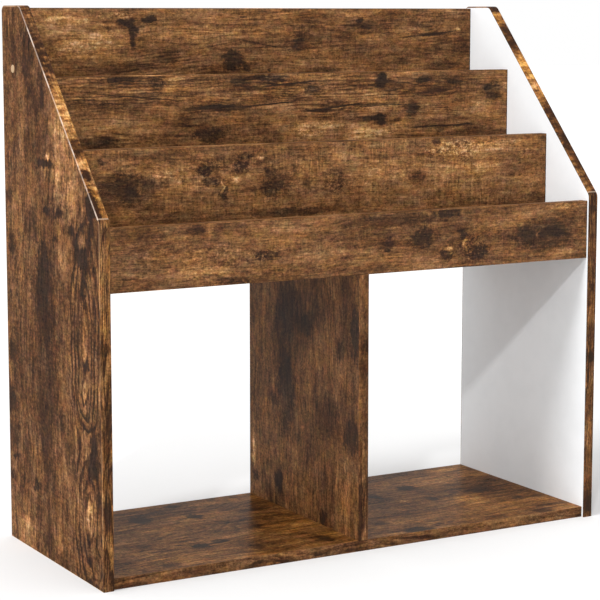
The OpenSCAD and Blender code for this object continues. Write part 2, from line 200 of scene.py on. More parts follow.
waver = noise(contour_group, taken["Place"], (0.012, 0.04, 0.04), 3.0, 0.55)
rings = calc(contour_group, "MULTIPLY", taken["Nearest"], taken["Lines"])
rings = calc(contour_group, "MULTIPLY_ADD", waver, 1.6, rings)
line = thin_line(contour_group, rings, (0.35, 0.8))
gaps = noise(contour_group, taken["Place"], (0.03, 0.03, 0.03), 2.0)
line = calc(contour_group, "MULTIPLY", line, between(contour_group, gaps, 0.3, 0.6, 0.35))
spread = calc(contour_group, "DIVIDE", taken["Nearest"], taken["Span"])
line = calc(contour_group, "MULTIPLY", line, between(contour_group, spread, 1.0, 0.6))
line = calc(contour_group, "MULTIPLY", line, taken["Depth"])
core = between(contour_group, taken["Nearest"], 1.1, 0.55)
core = calc(contour_group, "MULTIPLY", core, taken["Depth"])
LINE_TONE = -0.5
HEART_TONE = 0.24
HEART_WARMTH = 0.25
tone = calc(contour_group, "MULTIPLY", core, HEART_TONE)
tone = calc(contour_group, "MULTIPLY_ADD", line, LINE_TONE, tone)
warmth = calc(contour_group, "MULTIPLY", core, HEART_WARMTH)
figure = add(contour_group, "CombineXYZ", (tone, warmth)).outputs[0]
contour_group.links.new(vector_calc(contour_group, "ADD", taken["Sum"], figure), given.inputs["Sum"])

# Frays the outlines of the marks, more along the grain than across it, and tells how ragged they are.
fray_group, taken, given = start_group(
    "frayed outline",
    [("Place", "Vector", (0, 0, 0)), ("Seed", "Vector", (0, 0, 0)), ("Fray", "Float", 1.0)],
    [("Place", "Vector"), ("Ragged", "Float")],
)
MOST_WANDER = (34.0, 15.0, 0.0)
start = vector_calc(fray_group, "ADD", taken["Place"], taken["Seed"])
wander = noise(fray_group, start, (0.035, 0.09, 0.09), 4.0, 0.62, "Color")
wander = vector_calc(fray_group, "SUBTRACT", wander, (0.5, 0.5, 0.5))
wander = vector_calc(fray_group, "MULTIPLY", wander, MOST_WANDER)
strength = add(fray_group, "CombineXYZ", (taken["Fray"],) * 3).outputs[0]
moved = vector_calc(fray_group, "MULTIPLY_ADD", wander, strength, taken["Place"])
fray_group.links.new(moved, given.inputs["Place"])
crumbs = calc(fray_group, "SUBTRACT", noise(fray_group, start, (0.11, 0.17, 0.17), 4.0, 0.72), 0.5)
fray_group.links.new(calc(fray_group, "MULTIPLY", crumbs, 2.2), given.inputs["Ragged"])

# The smoked oak print. Place is in millimetres: along the grain, across it, and through the board.
# Marks holds the tone, warmth and burl that the printed marks add up to.
oak_group, taken, given = start_group(
    "smoked oak print",
    [
        ("Place", "Vector", (0, 0, 0)),
        ("Seed", "Vector", (0, 0, 0)),
        ("Marks", "Vector", (0, 0, 0)),
        ("Tone", "Float", 0.5),
        ("Warmth", "Float", 0.0),
        ("Clouds", "Float", 1.0),
        ("Mottle", "Float", 1.0),
        ("Streaks", "Float", 1.0),
        ("Fibres", "Float", 1.0),
        ("Curl", "Float", 0.0),
        ("Saw marks", "Float", 1.0),
        ("Growth lines", "Float", 1.0),
        ("Burl", "Float", 0.3),
        ("Fineness", "Float", 1.0),
        ("Soot", "Float", 1.0),
    ],
    [("Colour", "Color"), ("Roughness", "Float"), ("Height", "Float")],
)
place = vector_calc(oak_group, "ADD", taken["Place"], taken["Seed"])
fineness = add(oak_group, "CombineXYZ", (1.0, taken["Fineness"], taken["Fineness"])).outputs[0]
place = vector_calc(oak_group, "MULTIPLY", place, fineness)
# The grain isn't straight: it sways across the board
MOST_SWAY = (0.0, 22.0, 22.0)
sway = noise(oak_group, place, (0.006, 0.02, 0.02), 1.0, 0.5, "Color")
sway = vector_calc(oak_group, "SUBTRACT", sway, (0.5, 0.5, 0.5))
swayed = vector_calc(oak_group, "MULTIPLY_ADD", sway, MOST_SWAY, place)

# The layers of the print, from broad clouds to fine grit
clouds = noise(oak_group, swayed, (0.008, 0.026, 0.026), 4.0, 0.62)
streaks = noise(oak_group, swayed, (0.012, 0.15, 0.15), 4.0, 0.62)
fibres = noise(oak_group, swayed, (0.028, 0.50, 0.50), 3.0, 0.65)
mottle = noise(oak_group, place, (0.075, 0.10, 0.10), 5.0, 0.74)
curl = noise(oak_group, swayed, (0.13, 0.05, 0.05), 3.0, 0.6)
saw = noise(oak_group, place, (0.40, 0.04, 0.04), 2.0, 0.65)
specks = noise(oak_group, place, (0.17, 0.30, 0.30), 4.0, 0.78)
grit = noise(oak_group, place, (0.36, 0.50, 0.50), 2.0, 0.6)
# Saw marks, growth lines and burl each keep to their own zones of the print
zones = noise(oak_group, place, (0.010, 0.028, 0.028), 2.0, 0.5, "Color")
zones = add(oak_group, "SeparateColor", (zones,)).outputs
saw_zone = between(oak_group, zones[0], 0.38, 0.62, 0.25)
line_zone = between(oak_group, zones[1], 0.47, 0.62)
burl_zone = between(oak_group, zones[2], 0.52, 0.68)

# Growth lines are the level lines of a drawn-out noise, unsteady where streaks cross them
rings = noise(oak_group, swayed, (0.0022, 0.018, 0.018), 1.0, 0.4)
rings = calc(oak_group, "MULTIPLY_ADD", rings, 26.0, calc(oak_group, "MULTIPLY", streaks, 1.2))
late_wood = thin_line(oak_group, rings, (0.3, 0.85))
lines = calc(oak_group, "MULTIPLY", line_zone, taken["Growth lines"])
lines = calc(oak_group, "MULTIPLY", late_wood, lines)

# Burl: small dark eyes and pale flecks
marks_tone, marks_warmth, marks_burl = add(oak_group, "SeparateXYZ", (taken["Marks"],)).outputs
eyes = noise(oak_group, place, (0.24, 0.30, 0.30), 3.0, 0.65)
burl = calc(oak_group, "MULTIPLY_ADD", burl_zone, taken["Burl"], marks_burl, clamp=True)
eye_tone = calc(oak_group, "SUBTRACT", between(oak_group, eyes, 0.36, 0.70), 0.48)
eye_tone = calc(oak_group, "MULTIPLY", eye_tone, calc(oak_group, "MULTIPLY", burl, 0.7))


def swing(value, amount, strength=1.0):
    """How far a noise value lies from its middle, times an amount."""
    moved = calc(oak_group, "MULTIPLY", calc(oak_group, "SUBTRACT", value, 0.5), amount)
    return calc(oak_group, "MULTIPLY", moved, strength)


tone = calc(oak_group, "ADD", taken["Tone"], swing(clouds, 1.2, taken["Clouds"]))
tone = calc(oak_group, "ADD", tone, swing(streaks, 0.6, taken["Streaks"]))
tone = calc(oak_group, "ADD", tone, swing(mottle, 0.7, taken["Mottle"]))
tone = calc(oak_group, "ADD", tone, swing(specks, 0.9, taken["Mottle"]))
tone = calc(oak_group, "ADD", tone, swing(curl, 1.0, taken["Curl"]))
tone = calc(oak_group, "ADD", tone, eye_tone)
tone = calc(oak_group, "MULTIPLY_ADD", lines, -0.24, tone)
# The wood takes the marks unevenly, more where it is mottled and along its streaks
grip = calc(oak_group, "ADD", swing(mottle, 2.0), swing(streaks, 1.2))
grip = calc(oak_group, "ADD", grip, 0.95)
change = calc(oak_group, "MULTIPLY", marks_tone, grip)
tone = calc(oak_group, "ADD", tone, change)

ramp = add(oak_group, "ValToRGB", (tone,))
shades = [
    (0.00, (0.031, 0.013, 0.006)),
    (0.16, (0.054, 0.023, 0.009)),
    (0.34, (0.107, 0.048, 0.018)),
    (0.50, (0.176, 0.083, 0.031)),
    (0.66, (0.258, 0.127, 0.049)),
    (0.82, (0.368, 0.192, 0.075)),
    (1.00, (0.540, 0.330, 0.160)),
]
for place_on_ramp, shade in shades[1:-1]:
    ramp.color_ramp.elements.new(place_on_ramp)
for step, (place_on_ramp, shade) in zip(ramp.color_ramp.elements, shades):
    step.position = place_on_ramp
    step.color = (*shade, 1.0)

# Fibres, the marks of the saw across them, and grit lighten and darken the print finely
fine = calc(oak_group, "ADD", swing(fibres, 1.9, taken["Fibres"]), swing(grit, 2.0))
saw_depth = calc(oak_group, "MULTIPLY", saw_zone, taken["Saw marks"])
fine = calc(oak_group, "ADD", fine, swing(saw, 1.3, saw_depth))
light = calc(oak_group, "MAXIMUM", calc(oak_group, "ADD", fine, 1.0), 0.25)

# The print is warmer here and cooler there
COOL_TINT = (0.93, 0.99, 1.30, 1.0)
WARM_TINT = (1.12, 0.98, 0.68, 1.0)
warmth = calc(oak_group, "ADD", taken["Warmth"], marks_warmth)
elsewhere = vector_calc(oak_group, "ADD", place, (310.0, 0.0, 0.0))
hue = noise(oak_group, elsewhere, (0.022, 0.05, 0.05), 5.0, 0.7)
warmth = calc(oak_group, "ADD", warmth, swing(hue, 3.4))
warmth = calc(oak_group, "MULTIPLY_ADD", warmth, 0.5, 0.5)
tints = {0: warmth, 6: COOL_TINT, 7: WARM_TINT}
tint = add(oak_group, "Mix", tints, data_type="RGBA", clamp_factor=False).outputs[2]
tinted = paint(oak_group, 1.0, ramp.outputs[0], tint, "MULTIPLY")
# Dark marks are sooty: greyer than the wood round them
SOOT_TINT = (0.92, 1.16, 1.42, 1.0)
sooty = calc(oak_group, "MULTIPLY", between(oak_group, change, -0.12, -0.5), taken["Soot"])
soot = paint(oak_group, sooty, (1.0, 1.0, 1.0, 1.0), SOOT_TINT)
tinted = paint(oak_group, 1.0, tinted, soot, "MULTIPLY")
# The inks of the print lie unevenly, so red, green and blue each vary a little on their own
INK_SWING = (0.8, 0.55, 0.9)
INK_LEAST = (0.6, 0.725, 0.55)
inks = noise(oak_group, place, (0.06, 0.10, 0.10), 5.0, 0.8, "Color")
inks = vector_calc(oak_group, "MULTIPLY_ADD", inks, INK_SWING, INK_LEAST)
tinted = paint(oak_group, 1.0, tinted, inks, "MULTIPLY")
oak_group.links.new(times(oak_group, tinted, light), given.inputs["Colour"])
sheen = calc(oak_group, "MULTIPLY_ADD", fibres, 0.16, 0.40)
oak_group.links.new(calc(oak_group, "MULTIPLY_ADD", clouds, 0.10, sheen), given.inputs["Roughness"])
pores = calc(oak_group, "MULTIPLY_ADD", streaks, 0.5, fibres)
oak_group.links.new(calc(oak_group, "MULTIPLY_ADD", late_wood, -0.15, pores), given.inputs["Height"])


def start_material(name):
    material = bpy.data.materials.new(name)
    material.use_nodes = True
    material.node_tree.nodes.clear()
    return material, material.node_tree


# The model is in metres and the print in millimetres
PER_METRE = 1000.0
# How far marks and hearts reach through the board, and how little a crack wanders
MARK_DEPTH = 12.0
HEART_DEPTH = 100.0
CRACK_FRAY = 0.15


def oak_figure(
    tree, turn, seed, marks, face, fray=1.0, cracks=(), hearts=(), lines=2.0, span=4.0, depth=1.0,
    **settings,
):
    """Smoked oak with a printed figure, which lies on the face at this distance through the board.

    Turn brings the grain onto the pattern's first axis. A mark is given as along, across, half length,
    half width, tone, warmth and burl, and fray says how far its outline wanders. A crack is given as
    the along and across of both its ends, half width and tone. A heart is given as along, across,
    half length and half width. Lines is how many growth lines run round it for each of its half
    widths, span how many half widths they reach out, and depth how dark they are.
    """
    at = add(tree, "TexCoord").outputs["Object"]
    turned = {"Vector": at, "Rotation": turn, "Scale": (PER_METRE,) * 3}
    place = add(tree, "Mapping", turned).outputs["Vector"]
    frayed, ragged = use_group(tree, fray_group, Place=place, Seed=seed, Fray=fray)
    total = None
    for along, across, half_length, half_width, *amount in marks:
        total = use_group(
            tree, mark_group, Sum=total, Place=frayed, Centre=(along, across, face),
            Reach=(half_length, half_width, MARK_DEPTH), Amount=amount, Ragged=ragged,
        )[0]
    if cracks:
        less_frayed = use_group(tree, fray_group, Place=place, Seed=seed, Fray=CRACK_FRAY)[0]
    for from_along, from_across, to_along, to_across, half_width, tone in cracks:
        total = use_group(
            tree, crack_group, Sum=total, Place=less_frayed, From=(from_along, from_across, face),
            To=(to_along, to_across, face), Width=half_width, Tone=tone,
        )[0]
    nearest = None
    for along, across, half_length, half_width in hearts:
        nearest = use_group(
            tree, heart_group, Nearest=nearest, Place=frayed, Centre=(along, across, face),
            Reach=(half_length, half_width, HEART_DEPTH),
        )[0]
    if hearts:
        total = use_group(
            tree, contour_group, Sum=total, Place=place, Nearest=nearest, Lines=lines, Span=span,
            Depth=depth,
        )[0]
    return use_group(tree, oak_group, Place=place, Seed=seed, Marks=total, **settings)


def coat(tree, colour, roughness, height, depth=0.0002, strength=0.35, specular=0.1):
    """A satin surface with a bump of the given depth in metres."""
    bump = add(tree, "Bump", {"Height": height, "Strength": strength, "Distance": depth}).outputs[0]
    feeds = {"Base Color": colour, "Roughness": roughness, "Normal": bump, "Specular IOR Level": specular}
    shader = add(tree, "BsdfPrincipled", feeds)
    add(tree, "OutputMaterial", {"Surface": shader.outputs[0]})
    return shader


def wear(node, material):
    """Gives a node of the model its finish."""
    nodes[node].data.materials.clear()
    nodes[node].data.materials.append(material)


def millimetres(tree):
    """The place on the object in millimetres."""
    return times(tree, add(tree, "TexCoord").outputs["Object"], PER_METRE)


def position(tree, axis):
    """The place along the X, Y or Z axis, in millimetres."""
    return add(tree, "SeparateXYZ", (millimetres(tree),)).outputs["XYZ".index(axis)]


# The two ends of a box
LOW = 0
HIGH = 1


def side_of(node, axis, end):
    """Where a node of the model has its low or high end along an axis, in millimetres."""
    return PER_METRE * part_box(node)[end]["XYZ".index(axis)]


# Marks are placed where the photograph has them. On a side panel, along runs up from the
# ground and across runs from the middle towards the rear. The right panel's outer face doesn't show
# in the photograph. It has these marks of the left one too.
marks_of_both_panels = [
    # Dark stains and shadows
    (683, 73, 54, 18, -0.24, 0.05, 0),
    (589, 62, 54, 24, -0.18, 0.05, 0),
    (486, 10, 29, 40, -0.09, 0, 0),
    (391, 24, 47, 24, -0.28, 0.05, 0),
    (150, 24, 44, 26, -0.12, 0.05, 0),
    (58, 108, 25, 43, -0.17, 0, 0),
    # Knots and small shadows
    (485, 145, 12, 15, -0.3, 0.05, 0),
    (473, 10, 6, 14, -0.34, 0.05, 0),
    (444, -127, 10, 10, -0.42, 0.05, 0),
    (439, -83, 10, 10, -0.42, 0.05, 0),
    (374, -108, 6, 7, -0.4, 0.05, 0),
    (153, -127, 13, 16, -0.42, 0.05, 0),
    (151, 141, 22, 22, -0.28, 0, 0),
    (93, 62, 8, 12, -0.5, 0.05, 0),
    (89, 152, 6, 15, -0.36, 0.05, 0),
    (26, 17, 20, 18, -0.2, 0.05, 0),
    # Dark streaks
    (535, 10, 6, 30, -0.55, 0.05, 0),
    # Pale fields
    (426, -44, 26, 26, 0.12, 0, 0),
    (364, -92, 33, 38, 0.05, 0, 0),
    # Pale flecks and streaks
    (408, -37, 16, 14, 0.16, 0.05, 0),
]
# Only the left panel has the rest of the long dark stripe, which wanders from the rear towards the
# middle, the large pale fields and most of the knots.
marks_of_left_panel = [
    # Dark stains and shadows
    (700, 110, 60, 26, -0.14, 0.05, 0),
    (640, 130, 70, 30, -0.07, 0.05, 0),
    (537, 44, 40, 17, -0.16, 0.05, 0),
    (451, 65, 24, 24, -0.24, 0.05, 0),
    (285, 52, 130, 90, -0.09, 0, 0),
    (285, 24, 150, 40, -0.16, 0.05, 0),
    (128, 101, 41, 43, -0.14, 0, 0),
    # Knots and small shadows
    (488, -136, 18, 15, -0.4, 0.05, 0),
    (473, -30, 6, 17, -0.5, 0.05, 0),
    (460, -133, 9, 10, -0.42, 0.05, 0),
    (454, -73, 9, 11, -0.42, 0.05, 0),
    (430, -118, 9, 10, -0.42, 0.05, 0),
    (427, -92, 9, 10, -0.42, 0.05, 0),
    (419, 137, 17, 15, -0.26, 0.05, 0),
    (414, -108, 14, 13, -0.45, 0.05, 0),
    (286, -114, 10, 9, -0.5, 0.05, 0),
    (267, 141, 14, 18, -0.26, 0.05, 0),
    (196, 149, 19, 22, -0.4, 0, 0),
    (195, -30, 18, 10, -0.2, 0.05, 0),
    (180, -133, 25, 12, -0.42, 0.05, 0),
    (108, -108, 13, 6, -0.3, 0.05, 0),
    (10, -24, 11, 20, -0.18, 0.05, 0),
    # Dark streaks
    (625, 20, 21, 7, -0.3, 0.05, 0),
    (439, -17, 3, 10, -0.35, 0, 0),
    (120, 134, 3, 18, -0.4, 0.05, 0),
    (115, -146, 18, 6, -0.3, 0.05, 0),
    # Pale fields
    (595, -37, 37, 26, 0.14, 0, 0),
    (530, -55, 72, 46, 0.24, 0.02, 0.1),
    (501, -95, 31, 38, 0.08, 0, 0),
    (338, 101, 41, 43, 0.16, 0.05, 0),
    (269, -158, 46, 20, 0.14, 0.05, 0),
    (171, -92, 33, 38, 0.08, 0, 0),
    (96, -102, 33, 38, 0.17, 0.05, 0),
    (41, 101, 30, 60, 0.08, 0.08, 0),
    (20, 101, 27, 29, 0.06, 0.05, 0),
    # Pale flecks and streaks
    (546, 4, 5, 9, 0.5, 0.3, 0),
    (93, 64, 3, 4, 0.3, 0, 0),
    (84, 62, 5, 40, 0.08, 0.1, 0),
    (44, -30, 21, 17, 0.12, 0.1, 0),
]
# A dark arm across the grain between two knots, and a wide dark patch beside the knee
left_cracks = [
    (537, 41, 536, -14, 6.0, -0.25),
    (508, -129, 474, -140, 18.0, -0.80),
]
# The hearts stand one above another, near the front edge.
left_hearts = [
    (326, -111, 44, 14),
    (251, -108, 20, 13),
    (84, -120, 34, 15),
    (30, -139, 14, 9),
]
# The right panel wears its marks mirrored and lower, and two of the hearts stretched and higher.
right_marks = []
for along, across, half_length, half_width, *amount in marks_of_both_panels:
    right_marks.append((along - 40, -across, half_length, half_width, *amount))
right_hearts = []
for along, across, half_length, half_width in left_hearts[:2]:
    right_hearts.append((along + 190, 18 - across, 2.2 * half_length, half_width))

# The grain of an upright board runs along the object's Z, across it runs Y, and through it minus X.
UPRIGHT_GRAIN = (0.0, radians(90), 0.0)
# A face is all that lies within this many millimetres of it
INNER_MARGIN = 0.5
FOOT_MARGIN = 0.3
WHITE_PAPER = (0.83, 0.848, 0.862, 1.0)
RUBBED_PAPER = (0.80, 0.818, 0.832, 1.0)
DARK_CHIPS = (0.42, 0.28, 0.15, 1.0)
PALE_CHIPS = (0.68, 0.52, 0.33, 1.0)


def side_panel(side, seed, marks, cracks, hearts, depth, outer_face, inner_face):
    """Oak print outside, white paper inside, and raw chipboard at the foot."""
    material, tree = start_material(side + " panel decor")
    colour, roughness, height = oak_figure(
        tree, UPRIGHT_GRAIN, seed, marks, -outer_face, cracks=cracks, hearts=hearts, lines=1.25, span=4.6,
        depth=depth, Tone=0.38, Warmth=-0.25, Saw_marks=0.7, Growth_lines=0.4, Burl=0.2, Clouds=0.6,
        Mottle=0.9, Streaks=1.2, Fibres=1.6, Fineness=0.46,
    )
    from_middle = calc(tree, "ABSOLUTE", position(tree, "X"))
    inner = calc(tree, "LESS_THAN", from_middle, abs(inner_face) + INNER_MARGIN)
    # White paper, a little greyer where hands and books rub it
    smudge = noise(tree, millimetres(tree), (0.02, 0.02, 0.02), 4.0, 0.6)
    white = paint(tree, between(tree, smudge, 0.35, 0.7), WHITE_PAPER, RUBBED_PAPER)
    peel = noise(tree, millimetres(tree), (0.7, 0.7, 0.7), 2.0, 0.5)
    # Raw chipboard, chip by chip
    chips = add(tree, "TexVoronoi", {"Vector": millimetres(tree), "Scale": 0.45}).outputs["Color"]
    chips = add(tree, "SeparateColor", (chips,)).outputs[0]
    raw = paint(tree, chips, DARK_CHIPS, PALE_CHIPS)
    foot = calc(tree, "LESS_THAN", position(tree, "Z"), FOOT_MARGIN)
    colour = paint(tree, inner, colour, white)
    colour = paint(tree, foot, colour, raw)
    satin = calc(tree, "MULTIPLY_ADD", smudge, 0.12, 0.34)
    roughness = add(tree, "Mix", {0: inner, 2: roughness, 3: satin}).outputs[0]
    height = add(tree, "Mix", {0: inner, 2: height, 3: calc(tree, "MULTIPLY", peel, 0.3)}).outputs[0]
    coat(tree, colour, roughness, height, specular=0.018)
    wear(side + "_side_panel", material)


side_panel(
    "left", (0, 0, 0), marks_of_both_panels + marks_of_left_panel, left_cracks, left_hearts, 1.0,
    outer_face=side_of("left_side_panel", "X", LOW), inner_face=side_of("left_side_panel", "X", HIGH),
)
side_panel(
    "right", (900, 400, 60), right_marks, [], right_hearts, 0.5,
    outer_face=side_of("right_side_panel", "X", HIGH), inner_face=side_of("right_side_panel", "X", LOW),
)


# EDGE BANDS OF THE SIDE PANELS
# Strips of 2 mm plastic band with printed oak grain, glued round the panels in three lengths: up the
# front and round the knee, up the slope, and down the rear. Both arrises are routed round.

# The grain of the front and rear runs follows Z, across it runs minus X, and through it minus Y.
ALONG_FRONT = (radians(-90), 0.0, radians(-90))
# The slope run is tilted by the slope's angle from the level. Along it, places are measured from the
# middle of the bookcase: the knee lies at 234 and the top corner at 604.
SLOPE = radians(46.48)
ALONG_SLOPE = (-SLOPE, 0.0, radians(-90))
KNEE_HEIGHT = 474.0
BAND_FRONT = -side_of("left_front_edge_band", "Y", LOW)
BAND_REAR = -side_of("left_rear_edge_band", "Y", HIGH)
SLOPE_FACE = BAND_FRONT * sin(SLOPE) + KNEE_HEIGHT * cos(SLOPE)
BAND_OUTSIDE = side_of("right_front_edge_band", "X", HIGH)

front_marks = {
    "left": [
        (457, 381, 10, 8, -0.25, -0.1, 0),
        (338, 385, 15, 3, 0.3, 0.2, 0),
        (312, 383, 8, 7, -0.25, 0, 0),
        (224, 380, 38, 4, -0.2, 0, 0),
        (173, 376, 13, 3, 0.3, 0.3, 0),
        (123, 377, 18, 3, 0.25, 0.2, 0),
        (98, 384, 23, 4, -0.4, -0.1, 0),
        (47, 379, 25, 4, 0.2, 0.3, 0),
    ],
    "right": [
        (455, -382, 8, 7, -0.3, 0, 0),
        (302, -382, 14, 5, 0.08, 0.1, 0),
        (237, -384, 9, 5, -0.4, 0, 0),
        (114, -384, 29, 5, 0.1, 0.2, 0),
        (21, -384, 14, 7, -0.5, -0.1, 0),
    ],
}
slope_marks = {
    "left": [
        (560, 382, 80, 16, -0.34, -0.3, 0),
        (500, 382, 50, 16, -0.22, 0, 0),
        (425, 382, 44, 14, 0.26, 0.3, 0),
        (357, 383, 17, 16, -0.42, 0.1, 0),
        (329, 379, 14, 9, 0.24, 0.4, 0),
        (308, 384, 12, 6, -0.8, -0.2, 0),
        (286, 380, 14, 9, 0.02, 0.25, 0),
        (262, 388, 22, 6, -0.8, -0.25, 0),
        (250, 379, 26, 5, 0.04, 0.25, 0),
    ],
    "right": [
        (603, -382, 12, 10, -0.36, -0.1, 0),
        (579, -384, 10, 10, 0.2, 0.45, 0),
        (540, -384, 34, 16, -0.5, 0.15, 0),
        (485, -384, 30, 12, 0.32, 0.5, 0),
        (421, -386, 20, 12, 0.06, 0.4, 0),
        (366, -386, 46, 18, -0.56, 0.05, 0),
        (300, -386, 34, 20, -0.52, 0.1, 0),
        (250, -388, 24, 16, -0.24, 0.2, 0),
    ],
}
# Long narrow growth lines run beside one edge of each front run.
front_hearts = {
    "left": [(395, 392, 70, 3.2), (250, 373, 60, 2.6), (120, 391, 70, 3.0)],
    "right": [(380, -373, 60, 3.0), (180, -392, 80, 3.0)],
}
# How strongly each run's outer arris is painted, least and most, and the colour painted there: a pale
# painted highlight on the left slope, a fainter one on the left front, dark painted shade on the right
# slope and front, and brown elsewhere
ARRIS_HIGHLIGHT_AND_SHADE = {
    "left slope": (0.3, 0.85, (0.64, 0.50, 0.41, 1.0)),
    "left front": (0.0, 0.35, (0.34, 0.20, 0.11, 1.0)),
    "right slope": (0.3, 0.8, (0.05, 0.03, 0.02, 1.0)),
    "right front": (0.5, 0.9, (0.04, 0.025, 0.018, 1.0)),
    "left rear": (0.0, 0.55, (0.42, 0.27, 0.16, 1.0)),
    "right rear": (0.0, 0.55, (0.42, 0.27, 0.16, 1.0)),
}
# The arris paint begins this far from the band's outer face, and is full from here on
ARRIS_PAINT_BEGINS = 0.9
ARRIS_PAINT_FULL = 0.5
# How far up the slope's direction the front and slope runs meet, and how wide their joint looks
KNEE_JOINT = 238.8
JOINT_HALF_WIDTH = 1.4
JOINT_CORE = 0.8
JOINT_COLOUR = (0.55, 0.40, 0.28, 1.0)


def panel_band(side, run, turn, seed, marks, face, hearts=(), **settings):
    """The print of one run of a side panel's band, with its knee joint and the painted light on its outer
    arris.
    """
    material, tree = start_material(f"{side} {run} band")
    colour, roughness, height = oak_figure(
        tree, turn, seed, marks, face, fray=0.5, hearts=hearts, lines=1.2, span=7.0, depth=0.8,
        Burl=0.0, **settings,
    )
    # The butt joint of the front and slope runs shows as a pale line across the knee
    if run != "rear":
        up_slope = vector_calc(tree, "DOT_PRODUCT", millimetres(tree), (0.0, cos(SLOPE), sin(SLOPE)))
        from_joint = calc(tree, "ABSOLUTE", calc(tree, "SUBTRACT", up_slope, KNEE_JOINT))
        joint = between(tree, from_joint, JOINT_HALF_WIDTH, JOINT_CORE, 0.0, 0.45)
        colour = paint(tree, joint, colour, JOINT_COLOUR)
    # Painted light along the rounded outer arris: a highlight on the left slope and front, shade on the
    # right slope and front
    least, most, arris_paint_colour = ARRIS_HIGHLIGHT_AND_SHADE[f"{side} {run}"]
    from_middle = calc(tree, "ABSOLUTE", position(tree, "X"))
    arris = between(tree, from_middle, BAND_OUTSIDE - ARRIS_PAINT_BEGINS, BAND_OUTSIDE - ARRIS_PAINT_FULL)
    patches = noise(tree, millimetres(tree), (0.03, 0.03, 0.03), 3.0, 0.6)
    patches = between(tree, patches, 0.38, 0.62)
    # The share of painted highlight or painted shade on the arris, by run
    painted_arris_light = calc(tree, "MULTIPLY", arris, between(tree, patches, 0.0, 1.0, least, most))
    colour = paint(tree, painted_arris_light, colour, arris_paint_colour)
    coat(tree, colour, roughness, height, specular=0.08)
    wear(f"{side}_{run}_edge_band", material)


front_tones = {"left": {"Tone": 0.53, "Warmth": 0.4}, "right": {"Tone": 0.33, "Warmth": 0.2}}
for side, seed in (("left", (40, 0, 0)), ("right", (700, 90, 30))):
    panel_band(
        side, "front", ALONG_FRONT, seed, front_marks[side], BAND_FRONT, front_hearts[side],
        Growth_lines=1.6, Streaks=1.3, Fibres=1.3, Saw_marks=0.3, **front_tones[side],
    )
    panel_band(
        side, "slope", ALONG_SLOPE, seed, slope_marks[side], SLOPE_FACE, Tone=0.55, Warmth=0.65,
        Growth_lines=0.3, Streaks=0.7, Mottle=0.8, Saw_marks=0.8, Curl=2.0, Soot=0.0,
    )
    panel_band(
        side, "rear", ALONG_FRONT, seed, [], BAND_REAR, Tone=0.44, Warmth=0.1, Growth_lines=1.4,
        Streaks=1.2, Saw_marks=0.3,
    )


# BOARDS OF THE BOOK ROWS
# Four 15 mm boards that stand one behind the other, each higher than the last, held at their ends
# by cam locks and dowels. The decor's grain runs the whole length, and no two boards are alike.

# The grain follows X, across it runs Z, and through the board minus Y.
ACROSS_FRONT = (radians(-90), 0.0, 0.0)

